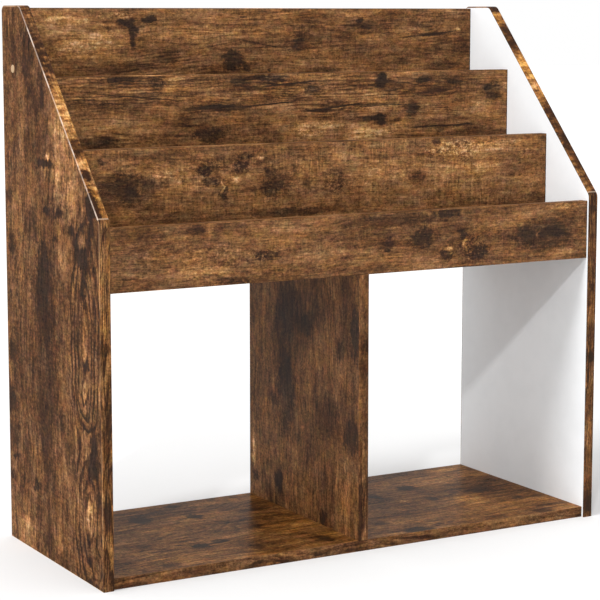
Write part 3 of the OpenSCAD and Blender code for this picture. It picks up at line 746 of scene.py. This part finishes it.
row_marks = {
    "back_board": [
        # Dark stains and shadows
        (-204, 655, 112, 7, -0.2, 0, 0),
        (233, 673, 129, 21, -0.07, -0.05, 0),
        # Knots and small shadows
        (-209, 719, 14, 7, -0.42, -0.1, 0.5),
        (-201, 699, 6, 17, -0.22, -0.1, 0.2),
        (-174, 724, 11, 7, -0.4, -0.1, 0.3),
        (-42, 664, 17, 15, -0.48, 0, 0),
        (-23, 727, 5, 2, -0.4, 0, 0),
        (-20, 652, 8, 6, -0.3, 0, 0),
        (18, 650, 3, 3, -0.4, 0, 0),
        (68, 691, 12, 13, -0.22, -0.15, 0),
        (75, 685, 21, 12, -0.16, -0.05, 0),
        (174, 721, 5, 3, -0.4, -0.1, 0),
        (185, 712, 11, 6, -0.25, -0.1, 0),
        # Dark streaks
        (-147, 667, 22, 7, -0.26, -0.1, 0),
        (118, 649, 26, 5, -0.32, 0.05, 0),
        (302, 701, 32, 3, -0.35, 0, 0),
        (325, 653, 34, 6, -0.25, -0.1, 0),
        (362, 699, 11, 41, -0.12, 0, 0),
        # Pale fields
        (-290, 700, 70, 33, 0.3, 0.15, 0),
        (-60, 712, 100, 20, 0.08, 0.12, 0),
        (113, 693, 42, 24, 0.09, 0, 0),
        # Pale flecks and streaks
        (-219, 730, 14, 5, 0.32, 0.1, 1),
        (315, 668, 11, 5, 0.22, 0.25, 0.3),
        (351, 708, 6, 3, 0.4, 0.2, 0),
    ],
    "third_row_board": [
        # Dark stains and shadows
        (-302, 598, 30, 19, -0.11, 0, 0),
        (-205, 611, 110, 17, -0.08, 0, 0),
        (167, 583, 53, 15, -0.04, -0.05, 0),
        # Knots and small shadows
        (-208, 635, 12, 12, -0.32, -0.15, 0.5),
        (-131, 564, 24, 11, -0.36, 0, 0.4),
        (-85, 636, 16, 6, -0.3, -0.1, 0),
        (-41, 567, 20, 14, -0.22, -0.05, 0.2),
        (34, 623, 17, 7, -0.4, -0.1, 0),
        (148, 578, 14, 8, -0.48, -0.1, 0),
        (150, 635, 10, 12, -0.42, -0.1, 0),
        (202, 593, 16, 7, -0.32, -0.1, 0),
        (223, 636, 12, 5, -0.38, -0.2, 0),
        (252, 560, 7, 4, -0.3, 0, 0),
        (280, 633, 14, 6, -0.3, -0.05, 0),
        (350, 617, 17, 15, -0.42, -0.1, 0),
        # Dark streaks
        (-296, 562, 27, 5, -0.3, 0, 0),
        (-293, 555, 33, 5, -0.32, 0.1, 0),
        (-263, 643, 27, 7, -0.3, -0.05, 0),
        (-104, 601, 42, 6, -0.34, -0.05, 0),
        (-31, 642, 33, 6, -0.3, -0.15, 0.2),
        (-2, 633, 50, 1, -0.4, 0, 0),
        (54, 594, 40, 2, -0.4, 0, 0),
        (119, 580, 22, 4, -0.3, 0, 0),
        (139, 600, 59, 2, -0.5, 0, 0),
        (269, 567, 47, 2, -0.5, 0, 0),
        # Pale fields
        (-168, 599, 38, 18, 0.07, 0, 0),
        (18, 569, 67, 14, 0.08, 0.1, 0),
        (48, 604, 40, 23, 0.11, 0, 0),
        (122, 602, 41, 22, 0.13, 0.05, 0),
        (136, 569, 59, 13, 0.2, 0.15, 0),
        (202, 599, 35, 21, 0.05, 0, 0),
        # Pale flecks and streaks
        (-236, 560, 40, 11, 0.1, 0.1, 0.2),
        (-181, 643, 12, 3, 0.28, 0.1, 0),
        (-175, 616, 95, 4, 0.12, 0.15, 0),
        (18, 566, 30, 9, 0.1, 0.15, 0.4),
        (122, 559, 24, 7, 0.24, 0.2, 0.1),
        (295, 592, 36, 9, 0.12, 0.15, 0),
    ],
    "second_row_board": [
        # Dark stains and shadows
        (-295, 503, 48, 20, -0.28, -0.1, 0),
        (-171, 521, 37, 22, -0.12, -0.05, 0.3),
        (-83, 503, 41, 22, -0.16, -0.05, 0.2),
        (-55, 462, 80, 7, -0.28, 0, 0),
        (334, 461, 55, 10, -0.16, 0, 0),
        # Knots and small shadows
        (-337, 540, 6, 4, -0.3, -0.1, 0),
        (-324, 515, 26, 18, -0.08, 0, 0),
        (-296, 499, 13, 8, -0.18, -0.2, 0),
        (-191, 522, 12, 8, -0.3, -0.1, 0.8),
        (-176, 509, 17, 7, -0.28, -0.1, 0.4),
        (-161, 491, 6, 11, -0.4, -0.1, 0.4),
        (-135, 525, 12, 9, -0.24, -0.1, 0.8),
        (-88, 503, 19, 19, -0.22, -0.1, 0.3),
        (-50, 521, 5, 8, -0.32, -0.1, 0),
        (-34, 505, 6, 14, -0.25, -0.05, 0),
        (11, 501, 18, 17, -0.18, -0.05, 0.6),
        (27, 551, 3, 2, -0.4, 0, 0),
        (153, 503, 19, 7, -0.32, -0.05, 0.3),
        (181, 551, 10, 4, -0.42, -0.1, 0),
        (312, 518, 22, 21, -0.12, -0.3, 0),
        # Dark streaks
        (-271, 548, 65, 7, -0.24, 0, 0),
        (-128, 541, 15, 5, -0.25, -0.1, 0.5),
        # Pale fields
        (-227, 515, 38, 19, 0.08, 0.15, 0.3),
        (-161, 512, 40, 20, 0.06, 0, 0),
        (-105, 515, 41, 21, 0.07, 0, 0),
        (-26, 514, 44, 22, 0.14, 0.05, 0),
        (78, 515, 60, 23, 0.06, 0, 0),
        (213, 539, 47, 14, 0.14, 0, 1),
        (245, 516, 115, 34, 0.18, 0.12, 0),
        (280, 544, 72, 9, 0.1, 0.2, 0),
        # Pale flecks and streaks
        (-335, 525, 12, 3, 0.22, 0.2, 0),
        (-285, 502, 4, 7, 0.3, 0.1, 0.5),
        (-164, 500, 2, 8, 0.6, 0.35, 0),
        (-141, 510, 5, 4, 0.36, -0.1, 0),
        (-105, 537, 12, 4, 0.14, 0, 0.5),
        (100, 515, 37, 9, 0.1, 0.1, 0),
        (255, 510, 39, 10, 0.16, 0.3, 0),
        (343, 490, 24, 7, 0.12, 0.1, 0),
    ],
    "front_board": [
        # Dark stains and shadows
        (-227, 425, 59, 18, -0.04, 0, 0),
        (53, 454, 90, 10, -0.22, -0.05, 0),
        (127, 421, 43, 19, -0.07, 0, 0),
        (292, 419, 46, 23, -0.1, 0, 0),
        (304, 425, 68, 24, -0.25, -0.05, 0),
        # Knots and small shadows
        (-335, 456, 30, 13, -0.18, -0.05, 0),
        (-251, 458, 12, 6, -0.26, -0.15, 0),
        (37, 421, 8, 12, -0.3, -0.1, 0.5),
        (92, 427, 20, 15, -0.34, -0.05, 0.3),
        (132, 401, 12, 8, -0.38, -0.1, 0.5),
        (137, 462, 22, 8, -0.32, -0.1, 0),
        (158, 430, 8, 7, -0.4, -0.1, 0.5),
        (177, 410, 27, 18, -0.1, 0, 0.9),
        (187, 401, 14, 11, -0.36, -0.1, 0.4),
        (267, 424, 16, 8, -0.12, 0, 0),
        (299, 422, 7, 5, -0.5, -0.05, 0),
        (322, 426, 21, 10, -0.2, -0.05, 0),
        # Dark streaks
        (-191, 385, 33, 4, -0.15, 0, 0.7),
        (-152, 419, 22, 7, -0.2, -0.1, 0.6),
        # Pale fields
        (-302, 417, 57, 13, 0.1, 0.05, 0.1),
        (-156, 443, 61, 16, 0.06, 0.05, 0),
        (-73, 410, 37, 16, 0.16, 0.15, 0.2),
        # Pale flecks and streaks
        (-238, 402, 50, 10, 0.16, 0.15, 0.3),
        (-232, 457, 6, 8, 0.2, 0.15, 0),
        (137, 409, 5, 6, 0.45, 0.1, 0),
        (163, 419, 3, 8, 0.5, 0.3, 0),
        (211, 438, 48, 10, 0.12, 0.15, 0),
        (289, 421, 2, 6, 0.34, 0.05, 0),
        (332, 394, 18, 4, 0.2, 0.2, 0),
        (336, 460, 23, 7, 0.2, 0.2, 0.5),
        # A warmer, cooler or livelier place
        (-350, 417, 36, 15, 0.02, -0.35, 0),
        (-208, 421, 74, 13, 0, 0, 0.4),
    ],
}
# Cracks, and the dark arms of the large knots
row_cracks = {
    "back_board": [
        (-225, 726, -203, 712, 4.0, -0.60),
        (-204, 713, -189, 706, 5.0, -0.50),
        (-202, 712, -201, 683, 6.0, -0.32),
        (-190, 722, -162, 724, 4.0, -0.35),
        (-86, 683, -27, 694, 1.5, -0.20),
        (-33, 694, 61, 678, 1.5, -0.20),
        (244, 695, 358, 706, 1.3, -0.42),
    ],
    "third_row_board": [
        (-320, 626, -159, 611, 1.2, -0.30),
        (-187, 598, -80, 606, 3.5, -0.25),
        (-93, 601, 13, 608, 1.5, -0.50),
        (-53, 629, 48, 637, 1.6, -0.55),
        (14, 592, 129, 604, 1.7, -0.55),
        (115, 580, 146, 580, 5.0, -0.32),
        (146, 589, 153, 568, 8.0, -0.40),
        (155, 649, 145, 625, 11.0, -0.30),
        (153, 570, 188, 580, 5.0, -0.32),
        (211, 606, 198, 574, 13.0, -0.24),
        (193, 565, 313, 568, 1.5, -0.50),
    ],
}
row_hearts = {
    "back_board": [(297, 720, 8, 5), (-60, 700, 90, 7)],
    "third_row_board": [(-200, 628, 150, 5), (-15, 622, 110, 4)],
}
row_looks = {
    "back_board": {"Tone": 0.515, "Warmth": 0.1, "Growth_lines": 0.8, "Clouds": 0.8, "Fibres": 1.2},
    "third_row_board": {"Tone": 0.51, "Warmth": 0.1, "Growth_lines": 1.0, "Streaks": 1.4, "Fibres": 1.3},
    "second_row_board": {
        "Tone": 0.50, "Warmth": 0.1, "Growth_lines": 0.3, "Clouds": 0.7, "Mottle": 1.1, "Saw_marks": 1.5,
    },
    "front_board": {"Tone": 0.435, "Warmth": 0.0, "Growth_lines": 0.4, "Clouds": 0.7, "Fibres": 1.2},
}
# Painted shade in the corner where each board's end meets a side panel. It darkens the board over this
# many millimetres before the end, and is darkest from here on
PAINTED_SHADE_BEGINS = 1.8
PAINTED_SHADE_FULL = 0.6
PAINTED_CORNER_SHADE = (0.02, 0.013, 0.01, 1.0)
for number, (node, marks) in enumerate(row_marks.items()):
    material, tree = start_material(node.replace("_", " ") + " decor")
    # Each board is cut from its own stretch of the print
    seed = (1300.0 + 830.0 * number, 170.0 * number, 40.0 * number)
    colour, roughness, height = oak_figure(
        tree, ACROSS_FRONT, seed, marks, -side_of(node, "Y", LOW), fray=0.65,
        cracks=row_cracks.get(node, ()), hearts=row_hearts.get(node, ()), lines=1.2, span=4.6,
        depth=0.6 if node == "third_row_board" else 0.35, Burl=0.3, **row_looks[node],
    )
    from_middle = calc(tree, "ABSOLUTE", position(tree, "X"))
    board_end = side_of(node, "X", HIGH)
    shade_from = board_end - PAINTED_SHADE_BEGINS
    # Painted shade at both ends of the board, where they meet the side panels
    painted_corner_shade = between(tree, from_middle, shade_from, board_end - PAINTED_SHADE_FULL, 0.0, 0.8)
    colour = paint(tree, painted_corner_shade, colour, PAINTED_CORNER_SHADE)
    coat(tree, colour, roughness, height)
    wear(node, material)


# FLOORS OF THE BOOK ROWS AND THE TWO SHELVES
# Flat 15 mm boards: two narrow floors that carry the books of the upper rows, the middle shelf under
# the front row, and the bottom shelf, which stands on the ground between the side panels.

# The grain of a flat board follows X, across it runs Y, and through it Z.
FLAT = (0.0, 0.0, 0.0)

shelf_marks = {
    "bottom_shelf": [
        # Dark stains and shadows
        (152, -33, 50, 79, -0.12, 0, 0),
        # Knots and small shadows
        (-281, -136, 15, 10, -0.26, -0.15, 0),
        (-223, 88, 17, 20, -0.4, -0.2, 0),
        (-206, -70, 13, 13, -0.54, -0.15, 0),
        (-173, -60, 11, 9, -0.46, -0.1, 0),
        (-148, 140, 14, 10, -0.3, -0.1, 0),
        (-144, 74, 10, 15, -0.52, -0.15, 0),
        (-141, -113, 10, 11, -0.24, 0, 0),
        (-50, 70, 25, 10, -0.25, 0, 0),
        (-41, -119, 12, 18, -0.42, 0, 0),
        (70, -94, 10, 14, -0.25, -0.1, 0),
        (96, -145, 20, 13, -0.5, -0.15, 0),
        (143, 45, 9, 20, -0.3, -0.15, 0),
        (210, -7, 8, 15, -0.25, -0.1, 0),
        (211, 68, 14, 16, -0.48, -0.15, 0),
        (299, 3, 28, 18, -0.3, -0.2, 0),
        (313, -146, 15, 11, -0.26, -0.1, 0),
        # Pale fields
        (-298, -72, 34, 22, 0.15, 0.1, 0),
        (-23, -27, 36, 67, 0.05, 0, 0),
        (262, -30, 30, 20, 0.14, 0.1, 0),
        # Pale flecks and streaks
        (167, -2, 8, 12, 0.3, 0, 0.4),
        # A warmer, cooler or livelier place
        (-48, -44, 43, 76, 0, 0.35, 0),
    ],
    "middle_shelf": [(-180, -60, 40, 14, -0.30, -0.10, 0), (120, 40, 30, 22, -0.30, -0.15, 0.4)],
    "second_row_floor": [(90, 30, 30, 12, -0.30, -0.10, 0)],
    "third_row_floor": [(-120, 100, 30, 12, -0.30, -0.10, 0.3)],
}
shelf_cracks = {
    "bottom_shelf": [
        (-238, -52, -208, -70, 3.0, -0.50),
        (-220, -70, -155, -65, 3.5, -0.55),
        (-178, 68, -125, 75, 3.0, -0.50),
        (70, -142, 130, -150, 3.5, -0.50),
        (190, 60, 232, 72, 3.0, -0.45),
    ],
}
SHELF_GLOSS = 0.55
for number, (node, marks) in enumerate(shelf_marks.items()):
    material, tree = start_material(node.replace("_", " ") + " decor")
    seed = (5200.0 + 790.0 * number, 210.0 * number, 50.0 * number)
    colour, roughness, height = oak_figure(
        tree, FLAT, seed, marks, side_of(node, "Z", HIGH), fray=0.8, cracks=shelf_cracks.get(node, ()),
        Tone=0.475, Warmth=0.7, Saw_marks=0.6, Growth_lines=0.7, Burl=0.2, Clouds=1.1, Mottle=0.95,
        Streaks=1.5, Fibres=1.4, Fineness=0.7,
    )
    # The shelves are smoother than the upright boards
    coat(tree, colour, calc(tree, "MULTIPLY", roughness, SHELF_GLOSS), height, specular=0.011)
    wear(node, material)


# CENTRE DIVIDER
# One upright board that parts the two cubes, between the bottom shelf and the middle shelf. Dowels
# set it in place, and two long screws from below and two from above hold it.
# The dark marks high on the divider paint the shade under the middle shelf, and the pale fields low down
# paint the light below it. The knots and flecks are print.
divider_print_and_painted_light = [
    # Dark stains of the print, and painted shade towards the top, under the middle shelf
    (328, -124, 55, 21, -0.14, -0.05, 0),
    (318, 50, 49, 35, -0.14, -0.1, 0),
    (304, 0, 42, 111, -0.06, -0.1, 0),
    (262, 44, 86, 41, -0.14, -0.05, 0),
    (186, 50, 66, 26, -0.3, -0.25, 0),
    (168, -70, 33, 33, -0.18, -0.05, 0),
    (157, -134, 27, 24, -0.32, -0.15, 0),
    (104, -94, 47, 53, -0.08, 0, 0),
    # Knots and small shadows
    (301, -145, 38, 13, -0.34, -0.2, 0),
    (295, -8, 14, 20, -0.28, -0.2, 0),
    (270, -105, 18, 11, -0.24, -0.1, 0),
    (172, 89, 13, 12, -0.3, -0.1, 0),
    (53, 71, 14, 15, -0.42, -0.15, 0),
    (49, 140, 9, 9, -0.36, -0.1, 0),
    (26, -59, 11, 10, -0.5, -0.1, 0),
    # Pale fields: painted light low down, where the light reaches into the cube
    (86, -110, 41, 21, 0.08, 0.1, 0),
    (83, 65, 49, 53, 0.09, 0, 0),
    (56, 0, 42, 40, 0.1, 0.15, 0),
    # Pale flecks and streaks
    (80, 147, 21, 8, 0.34, 0.2, 0),
]
material, tree = start_material("divider decor")
colour, roughness, height = oak_figure(
    tree, UPRIGHT_GRAIN, (9100.0, 260.0, 0.0), divider_print_and_painted_light, -side_of("centre_divider", "X", LOW),
    Tone=0.41, Warmth=0.1, Saw_marks=0.5, Growth_lines=0.5, Burl=0.1, Clouds=0.6, Mottle=0.75,
    Streaks=1.3, Fibres=1.5, Fineness=0.55,
)
coat(tree, colour, roughness, height, specular=0.07)
wear("centre_divider", material)


# THIN EDGE BANDS
# Strips of 1 mm plastic band on the long edges of the shelves, the divider and the row boards. Their
# printed grain follows the edge, and most of them are a little darker than their boards.
thin_bands = {
    "bottom_shelf_edge_bands": {"Tone": 0.40, "Warmth": -0.2, "Clouds": 0.5},
    "middle_shelf_edge_band": {"Tone": 0.48, "Warmth": 0.0},
    "second_row_floor_edge_band": {"Tone": 0.48, "Warmth": 0.0},
    "third_row_floor_edge_band": {"Tone": 0.48, "Warmth": 0.0},
    "divider_edge_bands": {"Tone": 0.39, "Warmth": -0.1},
    "front_board_edge_bands": {"Tone": 0.44, "Warmth": 0.1},
    "second_row_board_edge_band": {"Tone": 0.44, "Warmth": 0.1},
    "third_row_board_edge_band": {"Tone": 0.44, "Warmth": 0.1},
    "back_board_edge_band": {"Tone": 0.40, "Warmth": 0.0},
}
for number, (node, settings) in enumerate(thin_bands.items()):
    material, tree = start_material(node.replace("_", " "))
    turn = ALONG_FRONT if node == "divider_edge_bands" else FLAT
    seed = (6100.0 + 400.0 * number, 0.0, 0.0)
    colour, roughness, height = oak_figure(
        tree, turn, seed, [], 0.0, Burl=0.0, Growth_lines=1.2, Streaks=1.3, Saw_marks=0.5, **settings
    )
    coat(tree, colour, roughness, height, specular=0.06)
    wear(node, material)


# CAM LOCKS, CAM BOLTS AND DIVIDER SCREWS
# Die-cast zinc cams turned on the ball heads of steel bolts, and zinc-plated steel screws. They draw
# the boards against the side panels and can be undone again. All are bright but a little brushed.


def brushed_metal(pieces, bright, smoothest, grain):
    """Bright metal with duller spots, whose brushing has this grain per millimetre."""
    material, tree = start_material(pieces[0].replace("_", " ") + " metal")
    brushing = noise(tree, millimetres(tree), (grain, grain, grain), 4.0, 0.6)
    spots = noise(tree, millimetres(tree), (0.25, 0.25, 0.25), 3.0, 0.6)
    red, green, blue, solid = bright
    dull = (0.6 * red, 0.6 * green, 0.6 * blue, solid)
    colour = paint(tree, between(tree, spots, 0.5, 0.72), bright, dull)
    roughness = calc(tree, "MULTIPLY_ADD", brushing, 0.25, smoothest)
    shader = coat(tree, colour, roughness, brushing, depth=0.0001)
    shader.inputs["Metallic"].default_value = 1.0
    for node in pieces:
        wear(node, material)


brushed_metal(("cam_locks",), (0.56, 0.57, 0.58, 1.0), 0.32, 1.6)
brushed_metal(("cam_bolts", "divider_screws"), (0.66, 0.66, 0.67, 1.0), 0.20, 3.0)


# DOWELS
# Fluted beech pins of 8 mm, glued into one board and pushed into the next. Only their ends would
# show when the bookcase is taken apart.
BEECH = (0.66, 0.44, 0.25, 1.0)
DARK_BEECH = (0.50, 0.30, 0.16, 1.0)
material, tree = start_material("beech dowel")
grain = noise(tree, millimetres(tree), (0.9, 0.9, 0.9), 4.0, 0.6)
colour = paint(tree, between(tree, grain, 0.3, 0.7), BEECH, DARK_BEECH)
coat(tree, colour, calc(tree, "MULTIPLY_ADD", grain, 0.2, 0.5), grain)
for node in ("panel_dowels", "row_dowels", "divider_dowels"):
    wear(node, material)


# COVER PLUGS
# Pale brown plastic plugs pushed into a spare hole near the rear top corner of each side panel.
# They are moulded with a bevelled rim and a matt face.
PLASTIC = (0.44, 0.30, 0.17, 1.0)
DARK_PLASTIC = (0.38, 0.25, 0.14, 1.0)
material, tree = start_material("cover plug plastic")
matt = noise(tree, millimetres(tree), (2.2, 2.2, 2.2), 3.0, 0.6)
colour = paint(tree, between(tree, matt, 0.3, 0.7), PLASTIC, DARK_PLASTIC)
coat(tree, colour, calc(tree, "MULTIPLY_ADD", matt, 0.15, 0.42), matt, depth=0.0001)
wear("cover_plugs", material)


# FLOOR, LIGHT AND CAMERA
# A plain white studio: a seamless pale floor, soft white light from all round, and one key light
# high on the left front that throws the slanting shadow onto the white wall of the right cube.
bpy.ops.mesh.primitive_plane_add(size=40.0, location=(0, 0, 0))
floor = bpy.context.active_object
floor.name = "studio_floor"
material, tree = start_material("studio floor")
at = add(tree, "TexCoord").outputs["Object"]
unevenness = add(tree, "TexNoise", {"Vector": at, "Scale": 3.0, "Detail": 2.0}).outputs["Fac"]
colour = paint(tree, unevenness, (0.79, 0.79, 0.79, 1.0), (0.81, 0.81, 0.81, 1.0))
shader = add(tree, "BsdfPrincipled", {"Base Color": colour, "Roughness": 0.9, "Specular IOR Level": 0.1})
add(tree, "OutputMaterial", {"Surface": shader.outputs[0]})
floor.data.materials.append(material)

world = bpy.data.worlds.new("studio")
world.use_nodes = True
background = world.node_tree.nodes["Background"]
background.inputs["Color"].default_value = (1.0, 1.0, 1.0, 1.0)
background.inputs["Strength"].default_value = 1.0
bpy.context.scene.world = world
bpy.context.scene.view_settings.view_transform = "Standard"


def add_sun(name, energy, spread, way):
    """A sun that shines this way. The wider its spread, the softer its shadows."""
    light = bpy.data.lights.new(name, "SUN")
    light.energy = energy
    light.angle = spread
    lamp = bpy.data.objects.new(name, light)
    bpy.context.collection.objects.link(lamp)
    lamp.rotation_euler = Vector(way).to_track_quat("-Z", "Y").to_euler()


add_sun("key", 0.8, radians(2.5), (0.9, 1.0, -0.824))
# A broad light from high on the left brightens the white of the far panel above the boards
add_sun("fill", 1.75, radians(16), (0.75, 0.12, -0.65))

# The camera stands at the front left, looks to the right and down a little, and has a long lens.
# Its place and turn were fitted to the edges of the object in the photograph.
LOOKS_RIGHT = radians(29.621)
LOOKS_DOWN = radians(7.435)
lens = bpy.data.cameras.new("camera")
lens.lens = 117.375
lens.sensor_width = 36.0
lens.shift_y = -0.05
camera = bpy.data.objects.new("camera", lens)
bpy.context.collection.objects.link(camera)
camera.location = (-1.3674, -2.38427, 0.73005)
camera.rotation_euler = (radians(90) - LOOKS_DOWN, 0.0, -LOOKS_RIGHT)
bpy.context.scene.camera = camera
